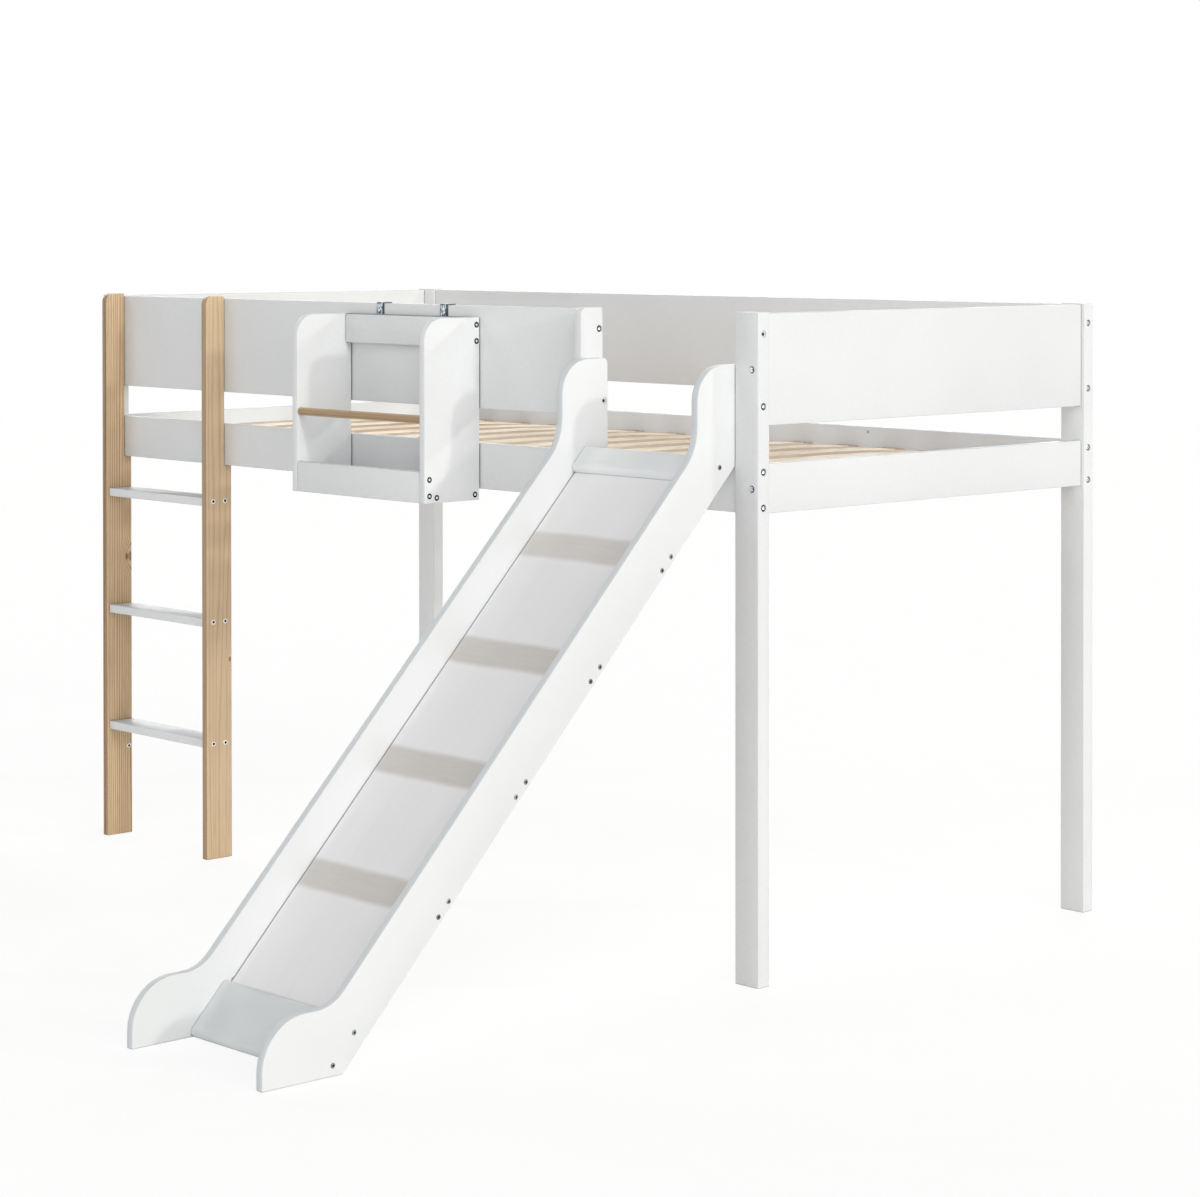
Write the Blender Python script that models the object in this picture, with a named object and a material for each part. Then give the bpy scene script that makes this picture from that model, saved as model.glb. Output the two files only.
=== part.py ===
"""Loft bed with slide, ladder and hang-on shelf, in metres.

The origin is on the floor, in the middle of the whole footprint. +Z is up, +X runs along the bed
towards the slide, and -Y is the front, where the ladder, the shelf and the slide are.
"""

import math

import bmesh
import bpy
from mathutils import Vector

# Clearances and small sizes used everywhere
FIT = 0.0003
OVERRUN = 0.004
EDGE_ROUND = 0.0015
EDGE_STEPS = 2
ARC_STEPS = 14

# Bed frame
BED_LENGTH = 2.060
BED_WIDTH = 0.962
POST_HEIGHT = 1.215
POST_WIDTH = 0.057
POST_DEPTH = 0.030
BOARD_THICKNESS = 0.018
GUARD_HEIGHT = 0.202
GUARD_BELOW_POST_TOP = 0.002
GUARD_TO_RAIL = 0.0685
RAIL_HEIGHT = 0.090

# Slats and the ledges under them
LEDGE_BELOW_RAIL_TOP = 0.054
LEDGE_DEPTH = 0.020
LEDGE_HEIGHT = 0.030
LEDGE_END_PLAY = 0.002
SLAT_COUNT = 15
SLAT_WIDTH = 0.060
SLAT_THICKNESS = 0.012
SLAT_MARGIN = 0.060
SLAT_END_PLAY = 0.002
SLAT_CROWN = 0.013
SLAT_CROWN_POWER = 3
SLAT_PARTS = 11

# Short upright beside the slide opening
OPENING_WIDTH = 0.3735
UPRIGHT_DEPTH = 0.057
UPRIGHT_RISE = 0.001
UPRIGHT_ROUND = 0.012

# Ladder
STILE_THICKNESS = 0.018
STILE_DEPTH = 0.0665
STILE_RISE = 0.004
STILE_ROUND = 0.019
LADDER_CLEAR_WIDTH = 0.359
TREAD_COUNT = 3
TREAD_THICKNESS = 0.018
TREAD_DEPTH = 0.061
FIRST_TREAD_TOP = 0.2585
TREAD_PITCH = 0.262

# Slide
SLOPE = math.radians(46.0)
SIDE_THICKNESS = 0.016
SIDE_BOARD_WIDTH = 0.092
SIDE_SEAT = 0.016
HEAD_HEIGHT = 0.1775
HEAD_DEPTH = 0.117
HEAD_ROUND = 0.065
HEAD_REAR_ROUND = 0.010
HEAD_HOLLOW = 0.104
FOOT_LENGTH = 0.163
FOOT_HEIGHT = 0.112
FOOT_ROUND = 0.085
FOOT_HOLLOW = 0.080
FOOT_CORNER = 0.002
SHEET_THICKNESS = 0.004
SHEET_LEVEL = 0.027
SHEET_SIDE_PLAY = 0.0005
BATTEN_COUNT = 4
BATTEN_WIDTH = 0.057
BATTEN_THICKNESS = 0.018
BATTEN_BELOW_TOP_BOARD = 0.1725
BATTEN_ABOVE_EXIT_BOARD = 0.2336
END_BOARD_THICKNESS = 0.0245
END_BOARD_LEVEL = 0.0405
END_BOARD_ROUND = 0.010
SHEET_GROOVE = 0.008
TOP_BOARD_START = 0.020
TOP_BOARD_LENGTH = 0.0535
EXIT_BOARD_LENGTH = 0.111
EXIT_BOARD_SETBACK = 0.0128
EXIT_BOARD_LIFT = 0.0005

# Hang-on shelf
SHELF_WIDTH = 0.4175
SHELF_OFFSET = 0.0583
SHELF_DEPTH = 0.142
SHELF_HEIGHT = 0.360
SHELF_BELOW_GUARD_TOP = 0.022
SHELF_BOARD = 0.015
SHELF_ROUND = 0.045
BACK_RAIL_HEIGHT = 0.060
LIP_HEIGHT = 0.061
LIP_SETBACK = 0.0015
BOTTOM_LIFT = 0.002
ROD_DIAMETER = 0.016
ROD_SETBACK = 0.0098
ROD_HEIGHT = 0.1627
ROD_SIDES = 20
HOOK_PLATE = 0.002
HOOK_WIDTH = 0.022
HOOK_SPACING = 0.200
HOOK_FRONT_LEG = 0.060
HOOK_BACK_LEG = 0.030
HOOK_PLAY = 0.0005
HOOK_BEND = 0.0025

# Furniture bolts
BOLT_DIAMETER = 0.006
BOLT_HEAD_DIAMETER = 0.0125
BOLT_HEAD = 0.0025
BOLT_RECESS = 0.0015
BOLT_KEY = 0.0046
BOLT_KEY_DEPTH = 0.0015
BOLT_GRIP = 0.040
BOLT_SIDE_GRIP = 0.011
BOLT_SIDES = 16
GUARD_BOLT_BELOW_TOP = 0.037
GUARD_BOLT_ABOVE_BOTTOM = 0.035
SLIDE_BOLT_ABOVE_GUARD_BOTTOM = 0.029
SLIDE_BOLT_FORWARD = 0.003
RAIL_BOLT_BELOW_TOP = 0.0145
RAIL_BOLT_ABOVE_BOTTOM = 0.011

# Levels of the frame
BOARD_INSET = (POST_DEPTH - BOARD_THICKNESS) / 2
GUARD_TOP = POST_HEIGHT - GUARD_BELOW_POST_TOP
GUARD_BOTTOM = GUARD_TOP - GUARD_HEIGHT
RAIL_TOP = GUARD_BOTTOM - GUARD_TO_RAIL
RAIL_BOTTOM = RAIL_TOP - RAIL_HEIGHT
LEDGE_TOP = RAIL_TOP - LEDGE_BELOW_RAIL_TOP

# Places along Y. The slide's foot decides how far the footprint reaches to the front
SLIDE_REACH = RAIL_TOP / math.tan(SLOPE) - BOARD_INSET + FOOT_LENGTH
FRONT = (SLIDE_REACH - BED_WIDTH) / 2
BACK = FRONT + BED_WIDTH
FRONT_BOARD_FACE = FRONT + BOARD_INSET
FRONT_BOARD_REAR = FRONT_BOARD_FACE + BOARD_THICKNESS
BACK_BOARD_FACE = BACK - BOARD_INSET - BOARD_THICKNESS
BOLT_LINE = FRONT + POST_DEPTH / 2

# Places along X
RIGHT = BED_LENGTH / 2
LEFT = -RIGHT
POST_INNER = RIGHT - POST_WIDTH
OPENING_RIGHT = POST_INNER
OPENING_LEFT = OPENING_RIGHT - OPENING_WIDTH
UPRIGHT_LEFT = OPENING_LEFT - BOARD_THICKNESS
LEFT_STILE = -POST_INNER + FIT
RIGHT_STILE = LEFT_STILE + STILE_THICKNESS + LADDER_CLEAR_WIDTH

# The slide's own frame starts where its sides sit on the front rail's top edge.
# Distances down the slope are counted from there, to where the end boards' top would meet the floor
SLIDE_SEAT = Vector((0.0, FRONT_BOARD_FACE, RAIL_TOP + FIT))
SLOPE_RUN = (RAIL_TOP + FIT + END_BOARD_LEVEL * math.cos(SLOPE)) / math.sin(SLOPE)
TOP_BOARD_END = TOP_BOARD_START + TOP_BOARD_LENGTH
EXIT_BOARD_END = SLOPE_RUN - EXIT_BOARD_SETBACK
EXIT_BOARD_START = EXIT_BOARD_END - EXIT_BOARD_LENGTH
SLIDE_INNER_LEFT = OPENING_LEFT + FIT + SIDE_THICKNESS
SLIDE_INNER_RIGHT = OPENING_RIGHT - FIT - SIDE_THICKNESS

# Shelf places
SHELF_BACK = FRONT_BOARD_FACE - HOOK_PLAY - HOOK_PLATE - FIT
SHELF_FRONT = SHELF_BACK - SHELF_DEPTH
SHELF_TOP = GUARD_TOP - SHELF_BELOW_GUARD_TOP
SHELF_FLOOR = SHELF_TOP - SHELF_HEIGHT
SHELF_LEFT = SHELF_OFFSET - SHELF_WIDTH / 2
SHELF_RIGHT = SHELF_OFFSET + SHELF_WIDTH / 2

# Bolt places
GUARD_BOLT_UPPER = GUARD_TOP - GUARD_BOLT_BELOW_TOP
GUARD_BOLT_LOWER = GUARD_BOTTOM + GUARD_BOLT_ABOVE_BOTTOM
RAIL_BOLT_UPPER = RAIL_TOP - RAIL_BOLT_BELOW_TOP
RAIL_BOLT_LOWER = RAIL_BOTTOM + RAIL_BOLT_ABOVE_BOTTOM
END_GUARD_BOLT = (GUARD_TOP + GUARD_BOTTOM) / 2
END_RAIL_BOLT = (RAIL_TOP + RAIL_BOTTOM) / 2
END_BOLT_LINE = RIGHT - BOARD_INSET - BOARD_THICKNESS / 2
BACK_BOLT_LINE = BACK - POST_DEPTH / 2


def clear_scene():
    for old in list(bpy.data.objects):
        bpy.data.objects.remove(old, do_unlink=True)


def material(name, colour, roughness, metallic=0.0):
    made = bpy.data.materials.new(name)
    made.use_nodes = True
    shader = made.node_tree.nodes["Principled BSDF"]
    shader.inputs["Base Color"].default_value = (*colour, 1.0)
    shader.inputs["Roughness"].default_value = roughness
    shader.inputs["Metallic"].default_value = metallic
    return made


def materials():
    """One finish for each kind of piece, named after what it covers."""
    return {
        "white_paint": material("white_paint", (0.86, 0.86, 0.85), 0.45),
        "pine": material("pine", (0.62, 0.42, 0.24), 0.55),
        "slat_pine": material("slat_pine", (0.72, 0.53, 0.32), 0.60),
        "milky_sheet": material("milky_sheet", (0.80, 0.81, 0.84), 0.25),
        "satin_board": material("satin_board", (0.72, 0.75, 0.78), 0.35),
        "zinc": material("zinc", (0.62, 0.64, 0.66), 0.35, 1.0),
    }


def link(name, mesh, finish):
    made = bpy.data.objects.new(name, mesh)
    bpy.context.scene.collection.objects.link(made)
    if finish:
        mesh.materials.append(finish)
    return made


def round_edges(obj, width=EDGE_ROUND):
    """Breaks every sharp edge and leaves the small turns of a curved rim alone."""
    bevel = obj.modifiers.new("edges", "BEVEL")
    bevel.width = width
    bevel.segments = EDGE_STEPS
    bevel.limit_method = "ANGLE"
    bevel.angle_limit = math.radians(60)


def board(name, low, high, finish, edge=EDGE_ROUND):
    """A box between two corners, with its origin at its middle and broken edges."""
    low = Vector(low)
    high = Vector(high)
    size = high - low
    mesh = bpy.data.meshes.new(name)
    shape = bmesh.new()
    bmesh.ops.create_cube(shape, size=1.0)
    bmesh.ops.scale(shape, vec=size, verts=shape.verts)
    shape.to_mesh(mesh)
    shape.free()
    made = link(name, mesh, finish)
    made.location = (low + high) / 2
    round_edges(made, edge)
    return made


def turn(before, corner, after, radius):
    """The points of an arc that rounds one corner of an outline."""
    if radius == 0:
        return [corner]
    back = (before - corner).normalized()
    ahead = (after - corner).normalized()
    half = back.angle(ahead) / 2
    reach = radius / math.tan(half)
    centre = corner + (back + ahead).normalized() * (radius / math.sin(half))
    start = corner + back * reach - centre
    sweep = (corner + ahead * reach - centre).angle_signed(start)
    points = []
    for step in range(ARC_STEPS + 1):
        angle = sweep * step / ARC_STEPS
        points.append(
            centre
            + Vector(
                (
                    start.x * math.cos(angle) - start.y * math.sin(angle),
                    start.x * math.sin(angle) + start.y * math.cos(angle),
                )
            )
        )
    return points


def rounded(corners):
    """An outline from (y, z, radius) corners, each rounded by its radius."""
    places = [Vector(corner[:2]) for corner in corners]
    points = []
    for index, corner in enumerate(corners):
        before = places[index - 1]
        after = places[(index + 1) % len(places)]
        points += turn(before, places[index], after, corner[2])
    return points


def plate(name, outline, left, right, finish, edge=EDGE_ROUND):
    """An outline in Y and Z, extruded along X from left to right."""
    mesh = bpy.data.meshes.new(name)
    shape = bmesh.new()
    rim = [shape.verts.new((left, point.x, point.y)) for point in outline]
    face = shape.faces.new(rim)
    pushed = bmesh.ops.extrude_face_region(shape, geom=[face])
    moved = [item for item in pushed["geom"] if isinstance(item, bmesh.types.BMVert)]
    bmesh.ops.translate(shape, vec=(right - left, 0, 0), verts=moved)
    bmesh.ops.recalc_face_normals(shape, faces=shape.faces)
    shape.to_mesh(mesh)
    shape.free()
    mesh.shade_smooth()
    mesh.set_sharp_from_angle(angle=math.radians(30))
    made = link(name, mesh, finish)
    if edge:
        round_edges(made, edge)
    return made


def rod(name, radius, length, sides, finish):
    """A cylinder along X, centred on its origin."""
    mesh = bpy.data.meshes.new(name)
    shape = bmesh.new()
    bmesh.ops.create_cone(
        shape, cap_ends=True, segments=sides, radius1=radius, radius2=radius, depth=length
    )
    bmesh.ops.rotate(
        shape,
        verts=shape.verts,
        matrix=Vector((0, 0, 1)).rotation_difference(Vector((1, 0, 0))).to_matrix(),
    )
    shape.to_mesh(mesh)
    shape.free()
    mesh.shade_smooth()
    mesh.set_sharp_from_angle(angle=math.radians(40))
    return link(name, mesh, finish)


def cut(obj, cutter):
    cutter.hide_render = True
    cutter.display_type = "WIRE"
    knife = obj.modifiers.new("cut", "BOOLEAN")
    knife.operation = "DIFFERENCE"
    knife.solver = "EXACT"
    knife.object = cutter


def on_slope(obj):
    """Places a piece drawn in the slide's own frame: Y up the slope, Z square to it."""
    obj.rotation_euler = (SLOPE, 0, 0)
    obj.location = SLIDE_SEAT


def make_posts(finish):
    posts = {}
    for side, left in (("left", LEFT), ("right", POST_INNER)):
        for row, front in (("front", FRONT), ("back", BACK - POST_DEPTH)):
            low = (left, front, 0)
            high = (left + POST_WIDTH, front + POST_DEPTH, POST_HEIGHT)
            posts[row, side] = board(f"post_{row}_{side}", low, high, finish)
    return posts


def long_board(name, left, right, face, bottom, top, finish):
    low = (left + FIT, face, bottom)
    high = (right - FIT, face + BOARD_THICKNESS, top)
    return board(name, low, high, finish)


def end_board(name, face, bottom, top, finish):
    low = (face, FRONT + POST_DEPTH + FIT, bottom)
    high = (face + BOARD_THICKNESS, BACK - POST_DEPTH - FIT, top)
    return board(name, low, high, finish)


def make_boards(finish):
    """Guards and rails between the posts."""
    left_face = LEFT + BOARD_INSET
    right_face = RIGHT - BOARD_INSET - BOARD_THICKNESS
    made = {}
    for kind, bottom, top, front_end in (
        ("guard", GUARD_BOTTOM, GUARD_TOP, UPRIGHT_LEFT),
        ("rail", RAIL_BOTTOM, RAIL_TOP, POST_INNER),
    ):
        made[kind, "front"] = long_board(
            f"{kind}_front", -POST_INNER, front_end, FRONT_BOARD_FACE, bottom, top, finish
        )
        made[kind, "back"] = long_board(
            f"{kind}_back", -POST_INNER, POST_INNER, BACK_BOARD_FACE, bottom, top, finish
        )
        made[kind, "left"] = end_board(f"{kind}_left", left_face, bottom, top, finish)
        made[kind, "right"] = end_board(f"{kind}_right", right_face, bottom, top, finish)
    return made


def make_ledges(finish):
    half = POST_INNER - LEDGE_END_PLAY
    front = FRONT_BOARD_REAR + FIT
    back = BACK_BOARD_FACE - FIT - LEDGE_DEPTH
    for row, near in (("front", front), ("back", back)):
        low = (-half, near, LEDGE_TOP - LEDGE_HEIGHT)
        high = (half, near + LEDGE_DEPTH, LEDGE_TOP)
        board(f"slat_ledge_{row}", low, high, finish)


def slat_outline(length):
    """The side view of one slat, crowned along its length and flatter in the middle."""
    lower = []
    for step in range(SLAT_PARTS + 1):
        along = step / SLAT_PARTS
        rise = SLAT_CROWN * (1 - abs(2 * along - 1) ** SLAT_CROWN_POWER)
        lower.append(Vector(((along - 0.5) * length, rise)))
    upper = [point + Vector((0, SLAT_THICKNESS)) for point in reversed(lower)]
    return lower + upper


def make_slats(finish):
    length = BACK_BOARD_FACE - FRONT_BOARD_REAR - 2 * SLAT_END_PLAY
    outline = slat_outline(length)
    inner = RIGHT - BOARD_INSET - BOARD_THICKNESS
    first = -inner + SLAT_MARGIN + SLAT_WIDTH / 2
    pitch = -2 * first / (SLAT_COUNT - 1)
    for index in range(SLAT_COUNT):
        name = f"slat_{index + 1:02d}"
        slat = plate(name, outline, -SLAT_WIDTH / 2, SLAT_WIDTH / 2, finish, 0)
        middle = (FRONT_BOARD_REAR + BACK_BOARD_FACE) / 2
        slat.location = (first + index * pitch, middle, LEDGE_TOP + FIT)


def make_upright(finish):
    """Carries the guard's end, stands on the rail and laps over its face."""
    front = FRONT_BOARD_REAR - UPRIGHT_DEPTH
    top = POST_HEIGHT + UPRIGHT_RISE
    lap = FRONT_BOARD_FACE - FIT
    outline = rounded(
        (
            (front, RAIL_BOTTOM, 0),
            (lap, RAIL_BOTTOM, 0),
            (lap, RAIL_TOP + FIT, 0),
            (FRONT_BOARD_REAR, RAIL_TOP + FIT, 0),
            (FRONT_BOARD_REAR, top, 0),
            (front, top, UPRIGHT_ROUND),
        )
    )
    return plate("opening_upright", outline, UPRIGHT_LEFT, OPENING_LEFT, finish)


def make_stiles(finish):
    """Pine stiles, cut away behind for the guard and the rail."""
    front = FRONT_BOARD_REAR - STILE_DEPTH
    top = POST_HEIGHT + STILE_RISE
    notch = FRONT_BOARD_FACE - FIT
    outline = rounded(
        (
            (front, 0, 0),
            (FRONT_BOARD_REAR, 0, 0),
            (FRONT_BOARD_REAR, RAIL_BOTTOM - FIT, 0),
            (notch, RAIL_BOTTOM - FIT, 0),
            (notch, top, 0),
            (front, top, STILE_ROUND),
        )
    )
    for side, left in (("left", LEFT_STILE), ("right", RIGHT_STILE)):
        plate(f"ladder_stile_{side}", outline, left, left + STILE_THICKNESS, finish)


def make_treads(finish):
    left = LEFT_STILE + STILE_THICKNESS + FIT
    right = RIGHT_STILE - FIT
    for index in range(TREAD_COUNT):
        top = FIRST_TREAD_TOP + index * TREAD_PITCH
        low = (left, FRONT_BOARD_REAR - TREAD_DEPTH, top - TREAD_THICKNESS)
        high = (right, FRONT_BOARD_REAR, top)
        board(f"ladder_tread_{index + 1}", low, high, finish)


def side_outline():
    """One slide side: seated on the rail, with a curved head and a curved foot."""
    face = SLIDE_SEAT.y
    seat = SLIDE_SEAT.z
    rise = math.tan(SLOPE)
    rear = face + SIDE_SEAT
    head_front = rear - HEAD_DEPTH
    head_top = seat + HEAD_HEIGHT
    foot_rear = face - seat / rise
    foot_front = foot_rear - FOOT_LENGTH
    upper = seat + SIDE_BOARD_WIDTH / math.cos(SLOPE)
    return rounded(
        (
            (foot_front, 0, FOOT_CORNER),
            (foot_rear, 0, FOOT_CORNER),
            (face, seat, 0),
            (rear, seat, 0),
            (rear, head_top, HEAD_REAR_ROUND),
            (head_front, head_top, HEAD_ROUND),
            (head_front, upper + (head_front - face) * rise, HEAD_HOLLOW),
            (face + (FOOT_HEIGHT - upper) / rise, FOOT_HEIGHT, FOOT_HOLLOW),
            (foot_front, FOOT_HEIGHT, FOOT_ROUND),
        )
    )


def make_slide_sides(finish):
    outline = side_outline()
    sides = {}
    for side, left in (("left", OPENING_LEFT + FIT), ("right", SLIDE_INNER_RIGHT)):
        right = left + SIDE_THICKNESS
        sides[side] = plate(f"slide_side_{side}", outline, left, right, finish)
    return sides


def make_sheet(finish):
    """The thin sliding surface. Its ends sit in the grooves of the two end boards."""
    upper = -(TOP_BOARD_END - SHEET_GROOVE + FIT)
    lower = -(EXIT_BOARD_START + SHEET_GROOVE - FIT)
    low = (SLIDE_INNER_LEFT + SHEET_SIDE_PLAY, lower, SHEET_LEVEL - SHEET_THICKNESS)
    high = (SLIDE_INNER_RIGHT - SHEET_SIDE_PLAY, upper, SHEET_LEVEL)
    mesh = bpy.data.meshes.new("slide_sheet")
    shape = bmesh.new()
    bmesh.ops.create_cube(shape, size=1.0)
    bmesh.ops.scale(shape, vec=Vector(high) - Vector(low), verts=shape.verts)
    bmesh.ops.translate(shape, vec=(Vector(high) + Vector(low)) / 2, verts=shape.verts)
    shape.to_mesh(mesh)
    shape.free()
    on_slope(link("slide_sheet", mesh, finish))


def make_battens(finish):
    top = SHEET_LEVEL - SHEET_THICKNESS - FIT
    first = TOP_BOARD_END + BATTEN_BELOW_TOP_BOARD
    last = EXIT_BOARD_START - BATTEN_ABOVE_EXIT_BOARD
    for index in range(BATTEN_COUNT):
        along = -(first + (last - first) * index / (BATTEN_COUNT - 1))
        outline = rounded(
            (
                (along - BATTEN_WIDTH / 2, top - BATTEN_THICKNESS, 0),
                (along + BATTEN_WIDTH / 2, top - BATTEN_THICKNESS, 0),
                (along + BATTEN_WIDTH / 2, top, 0),
                (along - BATTEN_WIDTH / 2, top, 0),
            )
        )
        left = SLIDE_INNER_LEFT + FIT
        right = SLIDE_INNER_RIGHT - FIT
        on_slope(plate(f"slide_batten_{index + 1}", outline, left, right, finish))


def make_top_board(finish):
    """Rolled at its lower edge, where it is grooved for the sheet."""
    rear = -TOP_BOARD_START
    front = -TOP_BOARD_END
    groove = front + SHEET_GROOVE
    sheet_top = SHEET_LEVEL + FIT
    sheet_under = SHEET_LEVEL - SHEET_THICKNESS - FIT
    outline = rounded(
        (
            (rear, END_BOARD_LEVEL, EDGE_ROUND),
            (front, END_BOARD_LEVEL, END_BOARD_ROUND),
            (front, sheet_top, 0),
            (groove, sheet_top, 0),
            (groove, sheet_under, 0),
            (front, sheet_under, 0),
            (front, END_BOARD_LEVEL - END_BOARD_THICKNESS, EDGE_ROUND),
            (rear, END_BOARD_LEVEL - END_BOARD_THICKNESS, EDGE_ROUND),
        )
    )
    left = SLIDE_INNER_LEFT + FIT
    right = SLIDE_INNER_RIGHT - FIT
    on_slope(plate("slide_top_board", outline, left, right, finish, 0))


def make_exit_board(finish):
    """Runs on below the sheet, and is cut level where it meets the floor."""
    rear = -EXIT_BOARD_START
    front = -EXIT_BOARD_END
    groove = rear - SHEET_GROOVE
    under = END_BOARD_LEVEL - END_BOARD_THICKNESS
    sheet_top = SHEET_LEVEL + FIT
    sheet_under = SHEET_LEVEL - SHEET_THICKNESS - FIT
    drop = SLIDE_SEAT.z - EXIT_BOARD_LIFT
    floor_at_under = -(drop + under * math.cos(SLOPE)) / math.sin(SLOPE)
    floor_at_front = (-front * math.sin(SLOPE) - drop) / math.cos(SLOPE)
    outline = rounded(
        (
            (rear, END_BOARD_LEVEL, END_BOARD_ROUND),
            (rear, sheet_top, 0),
            (groove, sheet_top, 0),
            (groove, sheet_under, 0),
            (rear, sheet_under, 0),
            (rear, under, EDGE_ROUND),
            (floor_at_under, under, 0),
            (front, floor_at_front, EDGE_ROUND),
            (front, END_BOARD_LEVEL, END_BOARD_ROUND),
        )
    )
    left = SLIDE_INNER_LEFT + FIT
    right = SLIDE_INNER_RIGHT - FIT
    on_slope(plate("slide_exit_board", outline, left, right, finish, 0))


def make_shelf(carrier, white, pine, zinc):
    """Sides, back rail, lip, bottom, rod and hooks, all carried by one empty."""
    pieces = []
    outline = rounded(
        (
            (SHELF_FRONT, SHELF_FLOOR, 0),
            (SHELF_BACK, SHELF_FLOOR, 0),
            (SHELF_BACK, SHELF_TOP, 0),
            (SHELF_FRONT, SHELF_TOP, SHELF_ROUND),
        )
    )
    for side, left in (("left", SHELF_LEFT), ("right", SHELF_RIGHT - SHELF_BOARD)):
        pieces.append(plate(f"shelf_side_{side}", outline, left, left + SHELF_BOARD, white))
    left = SHELF_LEFT + SHELF_BOARD + FIT
    right = SHELF_RIGHT - SHELF_BOARD - FIT
    lip_front = SHELF_FRONT + LIP_SETBACK
    lip_rear = lip_front + SHELF_BOARD
    bottom = SHELF_FLOOR + BOTTOM_LIFT
    for name, low, high in (
        (
            "shelf_back_rail",
            (left, SHELF_BACK - SHELF_BOARD, SHELF_TOP - BACK_RAIL_HEIGHT),
            (right, SHELF_BACK, SHELF_TOP),
        ),
        (
            "shelf_lip",
            (left, lip_front, SHELF_FLOOR),
            (right, lip_rear, SHELF_FLOOR + LIP_HEIGHT),
        ),
        (
            "shelf_bottom",
            (left, lip_rear + FIT, bottom),
            (right, SHELF_BACK, bottom + SHELF_BOARD),
        ),
    ):
        pieces.append(board(name, low, high, white))
    bar = rod("shelf_rod", ROD_DIAMETER / 2, right - left, ROD_SIDES, pine)
    bar.location = (SHELF_OFFSET, SHELF_FRONT + ROD_SETBACK, SHELF_FLOOR + ROD_HEIGHT)
    pieces.append(bar)
    for side, sign in (("left", -1), ("right", 1)):
        pieces.append(make_hook(f"shelf_hook_{side}", sign * HOOK_SPACING / 2, zinc))
    for piece in pieces:
        piece.parent = carrier
        piece.matrix_parent_inverse = carrier.matrix_world.inverted()


def make_hook(name, offset, finish):
    """A bent strip: down the back of the shelf's rail, over the guard, down behind it."""
    outer_front = FRONT_BOARD_FACE - HOOK_PLAY - HOOK_PLATE
    inner_front = outer_front + HOOK_PLATE
    inner_back = FRONT_BOARD_REAR + HOOK_PLAY
    outer_back = inner_back + HOOK_PLATE
    inner_top = GUARD_TOP + FIT
    outer_top = inner_top + HOOK_PLATE
    outline = rounded(
        (
            (outer_front, GUARD_TOP - HOOK_FRONT_LEG, 0),
            (inner_front, GUARD_TOP - HOOK_FRONT_LEG, 0),
            (inner_front, inner_top, 0),
            (inner_back, inner_top, 0),
            (inner_back, GUARD_TOP - HOOK_BACK_LEG, 0),
            (outer_back, GUARD_TOP - HOOK_BACK_LEG, 0),
            (outer_back, outer_top, HOOK_BEND),
            (outer_front, outer_top, HOOK_BEND),
        )
    )
    middle = SHELF_OFFSET + offset
    left = middle - HOOK_WIDTH / 2
    return plate(name, outline, left, left + HOOK_WIDTH, finish, 0)


def bolt_profile(length, clearance=0.0, mouth=BOLT_RECESS):
    """Radius and depth below the board's face, from the head's outer end inwards."""
    head = BOLT_HEAD_DIAMETER / 2 + clearance
    shank = BOLT_DIAMETER / 2 + clearance
    under_head = BOLT_RECESS + BOLT_HEAD + clearance
    return ((head, mouth), (head, under_head), (shank, under_head), (shank, length + clearance))


def turned(name, profile, finish):
    """A closed round body along local Z, from stacked rings of the profile."""
    mesh = bpy.data.meshes.new(name)
    shape = bmesh.new()
    rings = []
    for radius, depth in profile:
        ring = []
        for step in range(BOLT_SIDES):
            angle = 2 * math.pi * step / BOLT_SIDES
            place = (radius * math.cos(angle), radius * math.sin(angle), -depth)
            ring.append(shape.verts.new(place))
        rings.append(ring)
    shape.faces.new(rings[0])
    shape.faces.new(reversed(rings[-1]))
    for upper, lower in zip(rings, rings[1:]):
        for step in range(BOLT_SIDES):
            after = (step + 1) % BOLT_SIDES
            shape.faces.new((upper[step], lower[step], lower[after], upper[after]))
    bmesh.ops.recalc_face_normals(shape, faces=shape.faces)
    shape.to_mesh(mesh)
    shape.free()
    mesh.shade_smooth()
    mesh.set_sharp_from_angle(angle=math.radians(40))
    return link(name, mesh, finish)


def key_cutter(name):
    mesh = bpy.data.meshes.new(name)
    shape = bmesh.new()
    bmesh.ops.create_cone(
        shape,
        cap_ends=True,
        segments=6,
        radius1=BOLT_KEY / 2,
        radius2=BOLT_KEY / 2,
        depth=2 * BOLT_KEY_DEPTH,
    )
    shape.to_mesh(mesh)
    shape.free()
    return link(name, mesh, None)


def bolt_through(name, place, outward, length, pieces, finish):
    """A bolt whose head lies a little below the face at place, and its stepped bore in each piece."""
    spin = Vector((0, 0, 1)).rotation_difference(Vector(outward)).to_euler()
    bolt = turned(name, bolt_profile(length), finish)
    bore = turned(f"{name}_bore", bolt_profile(length, FIT, -OVERRUN), None)
    key = key_cutter(f"{name}_key")
    for item in (bolt, bore, key):
        item.location = Vector(place)
        item.rotation_euler = spin
    key.location -= Vector(outward) * BOLT_RECESS
    cut(bolt, key)
    for piece in pieces:
        cut(piece, bore)


def sink_head(name, place, outward, piece):
    """A round seat for a bolt head, below the face at place."""
    radius = BOLT_HEAD_DIAMETER / 2 + FIT
    seat = turned(name, ((radius, -OVERRUN), (radius, BOLT_RECESS + BOLT_HEAD + FIT)), None)
    seat.location = Vector(place)
    seat.rotation_euler = Vector((0, 0, 1)).rotation_difference(Vector(outward)).to_euler()
    cut(piece, seat)


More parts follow.
